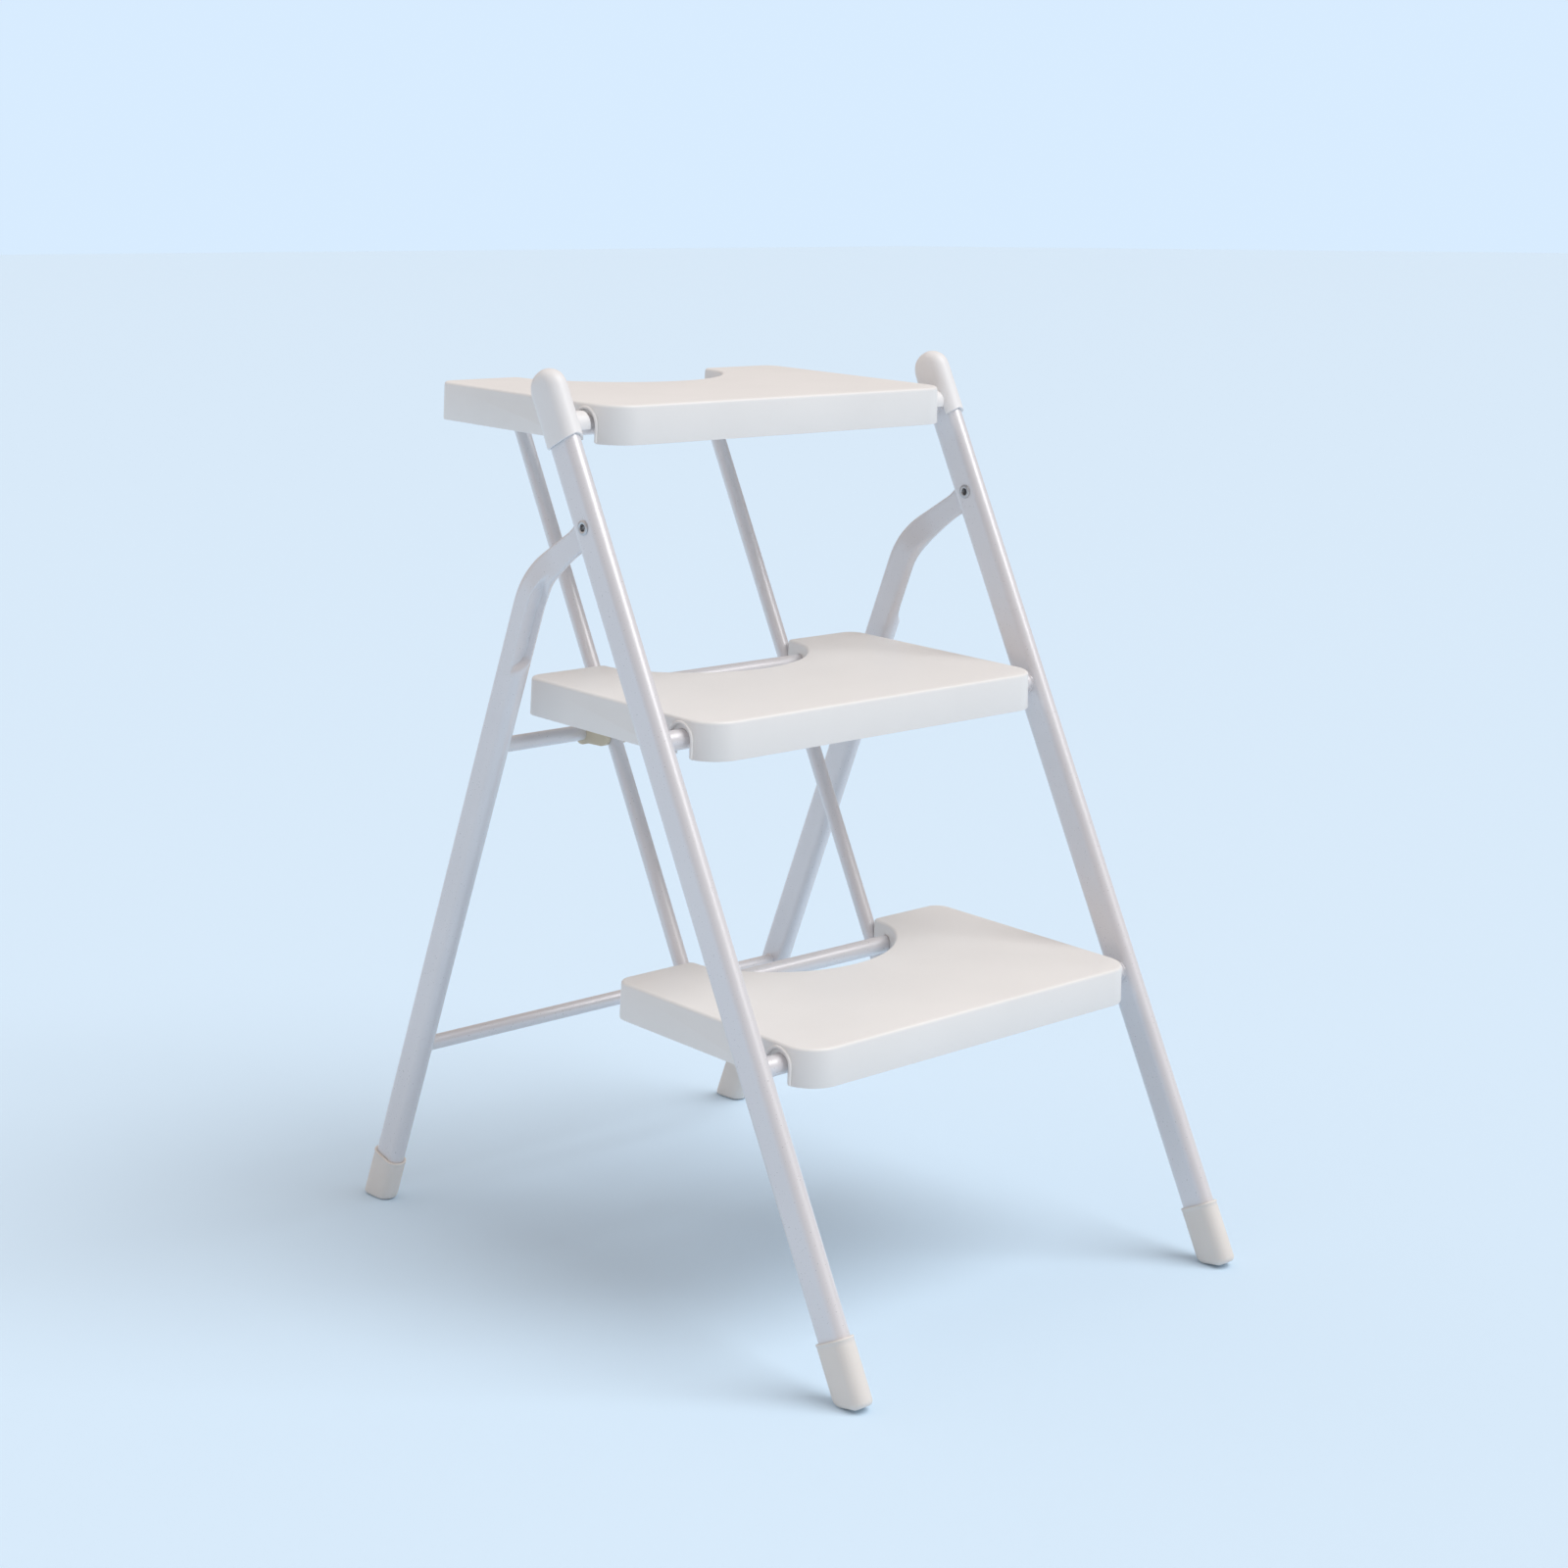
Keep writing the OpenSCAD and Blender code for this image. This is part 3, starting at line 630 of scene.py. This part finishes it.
def leg_section(depth, thick, press):
    """(u, w) points, u to the rear and w outwards; press sinks the outer wall's front part."""
    reach = depth - thick
    points = arc((reach, 0), thick, -90, 90, 12)
    points += [(reach - 2 * reach * i / 24, thick) for i in range(1, 24)]
    points += arc((-reach, 0), thick, 90, 270, 12)
    points += [(-reach + 2 * reach * i / 8, -thick) for i in range(1, 8)]
    level = -thick + PRESSED_THICK
    sunk = []
    for u, w in points:
        share = press * (1 - smooth_step(u, *PRESSED_BAND))
        sunk.append((u, w + share * (min(w, level) - w)))
    return sunk


def leg_path():
    """Places along a leg as ((y, z), direction, s), and s at the rivet; s is 0 where the bend starts."""
    bend, radius = math.radians(37), 70 * MM
    back = Vector((LEG_UP.y, -LEG_UP.x))
    to_rivet = RIVET - LEG_FOOT
    offset, height = to_rivet.dot(back), to_rivet.dot(LEG_UP)
    run = (-offset + RIVET_OFFSET * math.cos(bend)) / math.sin(bend)
    tangent = radius * math.tan(bend / 2)
    bend_s = height - RIVET_OFFSET * math.sin(bend) - run * math.cos(bend) - tangent
    straight_end = bend_s - 78 * MM
    distances = [LEG_START + (straight_end - LEG_START) * i / 6 for i in range(7)]
    distances += [bend_s - before * MM for before in range(72, 0, -4)]
    stations = [(LEG_FOOT + LEG_UP * s, LEG_UP, s - bend_s) for s in distances]
    for i in range(19):
        a = bend * i / 18
        at = LEG_FOOT + LEG_UP * (bend_s + radius * math.sin(a)) - back * radius * (1 - math.cos(a))
        stations.append((at, LEG_UP * math.cos(a) - back * math.sin(a), radius * a))
    start, along, _ = stations[-1]
    length = run - tangent
    rivet_s = radius * bend + length
    for i in range(1, 27):
        stations.append((start + along * length * i / 26, along, radius * bend + length * i / 26))
    for degrees in (15, 30, 45, 58, 70, 80, 87):
        reach = TIP_R * math.sin(math.radians(degrees))
        stations.append((start + along * (length + reach), along, rivet_s + reach))
    return stations, rivet_s


def make_leg(side, word):
    """Rear leg: oval tube, pressed in at the bend, then flat up to its rounded tip round the rivet."""
    stations, rivet_s = leg_path()
    rings = []
    for at, along, s in stations:
        flat = smooth_step(s, rivet_s + FLATTENS[0], rivet_s + FLATTENS[1])
        press = smooth_step(s, *PRESSES_IN) * (1 - flat)
        thick = TUBE_THICK / 2 + (FLAT_HALF - TUBE_THICK / 2) * flat
        narrowing = smooth_step(s, rivet_s + NARROWS[0], rivet_s + NARROWS[1])
        widening = min(1.0, max(0.0, (s - rivet_s) / WIDENS_OVER + 1))
        front_edge = -TUBE_DEPTH / 2 + (RIVET_OFFSET - TIP_R + TUBE_DEPTH / 2) * narrowing
        rear_edge = TUBE_DEPTH / 2 + (RIVET_OFFSET + TIP_R - TUBE_DEPTH / 2) * widening
        depth = (rear_edge - front_edge) / 2
        shift = (rear_edge + front_edge) / 2
        if s > rivet_s:
            depth = max(FLAT_HALF, math.sqrt(max(0, TIP_R ** 2 - (s - rivet_s) ** 2)))
            thick = min(thick, depth * 0.98)
        centre = LEG_X + (STILE_X - LEG_X) * flat
        back = Vector((along.y, -along.x))
        rings.append([(side * (centre + w), at.x + back.x * (u + shift), at.y + back.y * (u + shift))
                      for u, w in leg_section(depth, thick, press)])
    work = bmesh.new()
    loft(work, rings)
    leg = finish_mesh(work, f"leg_{word}", sharp=40)
    hole_r, hole_reach = 4.15 * MM, 6 * MM
    hole = bmesh.new()
    ring = circle((RIVET.x, RIVET.y), hole_r, points=30)
    side_prism(hole, ring, side, STILE_X - hole_reach, STILE_X + hole_reach)
    boolean(leg, finish_mesh(hole, "hole_build"))
    place(leg, Matrix.Identity(4), "rear_frame", "painted_tube", f"rear_leg_{word}")


# ---- caps, feet, rivets and welds ---------------------------------------------------

STILE_END = 806 * MM         # length of a stile along its own line, from the floor
FIT = 0.15 * MM              # play between a tube and the sleeve on it
TUBE_CAVITY = stadium(TUBE_DEPTH / 2 + FIT, TUBE_THICK / 2 + FIT)
WELD_SINK = 0.2 * MM


def make_cap(side, word):
    """Domed sleeve on a stile, with a collar over the top pivot tube."""
    depth, thick, edge = 17.5 * MM, 9.75 * MM, 0.5 * MM
    skirt, crown = STILE_END - 48 * MM, STILE_END - 4.5 * MM
    shoulder = crown + depth - thick
    oval = stadium(depth, thick)

    def low_edge(x):
        """The lower edge rises to a low point at the front and the rear."""
        return skirt + 2.5 * MM * max(0.0, 1 - abs(x) / thick)

    def ring_at(share, outline):
        """Ring at a share of the way from the lower edge to the crown."""
        return [(x, y, low_edge(x) + (crown - low_edge(x)) * share) for x, y in outline]

    rings = [ring_at(0, inset(oval, edge)), [(x, y, z + edge) for x, y, z in ring_at(0, oval)]]
    rings += [ring_at(t / 6, oval) for t in range(1, 7)]
    least, least_square = 0.2 * MM, 1e-9   # these keep the last rings from shrinking to nothing
    for degrees in (8, 16, 25, 34, 43, 52, 61, 70, 78, 85, 89):
        z = crown + depth * math.sin(math.radians(degrees))
        half_depth = depth * math.cos(math.radians(degrees))
        over = max(0.0, z - shoulder)
        half_thick = min(math.sqrt(max(least_square, thick ** 2 - over ** 2)), max(half_depth, least))
        rings.append([(x, y, z) for x, y in stadium(max(half_depth, half_thick), half_thick)])
    roof, brim = 0.3 * MM, 0.2 * MM
    work = bmesh.new()
    outer = loft(work, rings, cap_start=False)
    inner = loft(work, [[(x, y, STILE_END + roof) for x, y in TUBE_CAVITY],
                        [(x, y, low_edge(x) + brim) for x, y in TUBE_CAVITY]], cap_end=False)
    bridge(work, inner[-1], outer[0])
    cap = finish_mesh(work, f"cap_{word}", sharp=50)
    pivot = (PIVOTS["top"] - STILE_FOOT).length
    collar_r, open_r = 11 * MM, 8.3 * MM
    foot_angle = math.degrees(math.acos(open_r / collar_r))
    horseshoe = arc((0, pivot), collar_r, -foot_angle, 180 + foot_angle, 24)
    horseshoe += arc((0, pivot), open_r, 180, 0, 18)
    collar = bmesh.new()
    side_prism(collar, horseshoe, -side, 8.6 * MM, 21 * MM)
    boolean(cap, finish_mesh(collar, "collar_build"), "UNION")
    slot = bmesh.new()
    side_prism(slot, [(y, z + pivot) for y, z in open_arch(open_r, 0)], -side, 2 * MM, 22 * MM)
    boolean(cap, finish_mesh(slot, "slot_build"))
    place(cap, Matrix.Translation((side * STILE_X, 0, 0)) @ frame_at(STILE_FOOT, STILE_UP), "front_frame",
          "cap_plastic", f"stile_cap_{word}")


def make_foot(name, node, body, x, origin, up, top, slope, toe):
    """Sleeve foot: rounded sole flat on the floor, thin rim at the top edge.

    top is the rim's distance along the axis, which falls by slope to the rear; toe lifts the sole's front.
    """
    sleeve = stadium(17 * MM, 9.5 * MM)
    sole, toe_start, tube_end = 4 * MM, 2 * MM, 12 * MM

    def down_to(y, height):
        """Distance along the axis at which the line through y reaches a height above the floor."""
        lift = toe * max(0.0, -y - toe_start)
        return (height + lift - origin.y + y * up.x) / up.y

    def top_of(y):
        return top - slope * y

    rings = []
    for shrink, height in ((3.2, 0.0), (2.0, 0.35), (0.9, 1.2), (0.25, 2.4), (0.0, 4.0)):
        rings.append([(px, py, down_to(py, height * MM)) for px, py in inset(sleeve, shrink * MM)])
    for share in (0.3, 0.6, 0.9):
        rings.append([(px, py, down_to(py, sole) + (top_of(py) - down_to(py, sole)) * share)
                      for px, py in sleeve])
    for shrink, below in ((0.0, 1.9), (-0.35, 1.5), (-0.35, 0.6), (0.1, 0.0), (1.7, 0.0)):
        rings.append([(px, py, top_of(py) - below * MM) for px, py in inset(sleeve, shrink * MM)])
    rings.append([(px, py, down_to(py, tube_end)) for px, py in TUBE_CAVITY])
    work = bmesh.new()
    loft(work, rings)
    foot = finish_mesh(work, name, sharp=50)
    place(foot, Matrix.Translation((x, 0, 0)) @ frame_at(origin, up), body, "foot_plastic", node)


def make_rivet(side, word):
    """Hollow rivet with rolled rims; the bore stays open."""
    low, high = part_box(f"frame_rivet_{word}")
    inner, outer = sorted((abs(low[0]), abs(high[0])))
    bore, shank, rim = 3, 4, 5.9   # radii in mm, as (depth from the rivet's end, radius) below
    inner_head = ((0, bore + 0.4), (0, shank), (0.2, rim - 0.3), (0.6, rim), (1.1, rim - 0.2), (1.15, shank))
    outer_head = ((1.2, shank), (1.2, rim - 0.3), (0.8, rim), (0.3, rim - 0.3), (0, shank + 0.7), (0, shank),
                  (0.5, bore))
    profile = [(inner + depth * MM, radius * MM) for depth, radius in inner_head]
    profile += [(outer - depth * MM, radius * MM) for depth, radius in outer_head]
    profile.append((inner + 0.6 * MM, bore * MM))
    work = bmesh.new()
    lathe(work, [(side * x, radius) for x, radius in profile], (0, RIVET.x, RIVET.y))
    rivet = finish_mesh(work, f"rivet_{word}", sharp=60)
    place(rivet, Matrix.Identity(4), "front_frame", "zinc_steel", f"frame_rivet_{word}")


def make_weld(name, x, at, radius, body, seed):
    """Low uneven weld bead round a tube where it meets a flat face; seed shifts its waves."""
    steps, sides = 44, 8
    rings = []
    for k in range(steps):
        a = 2 * math.pi * k / steps
        bead = (0.95 + 0.22 * math.sin(9 * a + seed) + 0.12 * math.sin(17 * a + 2 * seed)) * MM
        ring = []
        for n in range(sides):
            b = 2 * math.pi * n / sides
            reach = radius + bead * math.cos(b)
            ring.append((x + bead * math.sin(b), at.x + reach * math.cos(a), at.y + reach * math.sin(a)))
        rings.append(ring)
    work = bmesh.new()
    loft_round(work, rings)
    place(finish_mesh(work, name, sharp=70), Matrix.Identity(4), body, "painted_tube")


def make_welds():
    """A bead at each end of the pivot tubes and the crossbars."""
    tubes = [(f"pivot_{level}", STILE_X - TUBE_THICK / 2, at, PIVOT_TUBE_R, "front_frame")
             for level, at in PIVOTS.items()]
    tubes += [(f"bar_{bar}", LEG_INNER, middle(f"rear_crossbar_{bar}"), CROSSBAR_R, "rear_frame")
              for bar in ("middle", "lower")]
    seed = 0
    for label, x, at, radius, body in tubes:
        for side, word in SIDES:
            seed += 1
            make_weld(f"weld_{label}_{word}", side * (x - WELD_SINK), at, radius, body, seed)


def soften(node, width):
    """Rounds a CAD node's edges with modifiers, which leave its own mesh as it is."""
    weld = NODES[node].modifiers.new("weld", "WELD")
    weld.merge_threshold = 0.02 * MM
    bevel = NODES[node].modifiers.new("bevel", "BEVEL")
    bevel.width = width
    bevel.segments = 2
    bevel.limit_method = "ANGLE"
    bevel.angle_limit = math.radians(50)


def paint_cad_nodes():
    """Gives each CAD node the material of its slot in the record."""
    slots = {part["node"]: part["material_slot"] for part in frame["record"]["subparts"]}
    for name, node in NODES.items():
        material = MATERIALS[slots[name]]
        if not node.material_slots:
            node.data.materials.append(material)
        for holder in node.material_slots:
            holder.material = material


make_camera()
make_floor()
make_lights()
MATERIALS = make_materials()
paint_cad_nodes()
make_treads()
for side, word in SIDES:
    make_leg(side, word)
    make_cap(side, word)
    make_rivet(side, word)
    make_foot(f"foot_front_{word}", f"front_foot_{word}", "front_frame", side * STILE_X, STILE_FOOT, STILE_UP,
              top=52 * MM, slope=0, toe=0.5)
    make_foot(f"foot_rear_{word}", f"rear_foot_{word}", "rear_frame", side * LEG_X, LEG_FOOT, LEG_UP,
              top=46 * MM, slope=0.1, toe=0)
    soften(f"slide_guide_{word}", 0.9 * MM)
make_welds()
soften("link_lugs", 0.5 * MM)
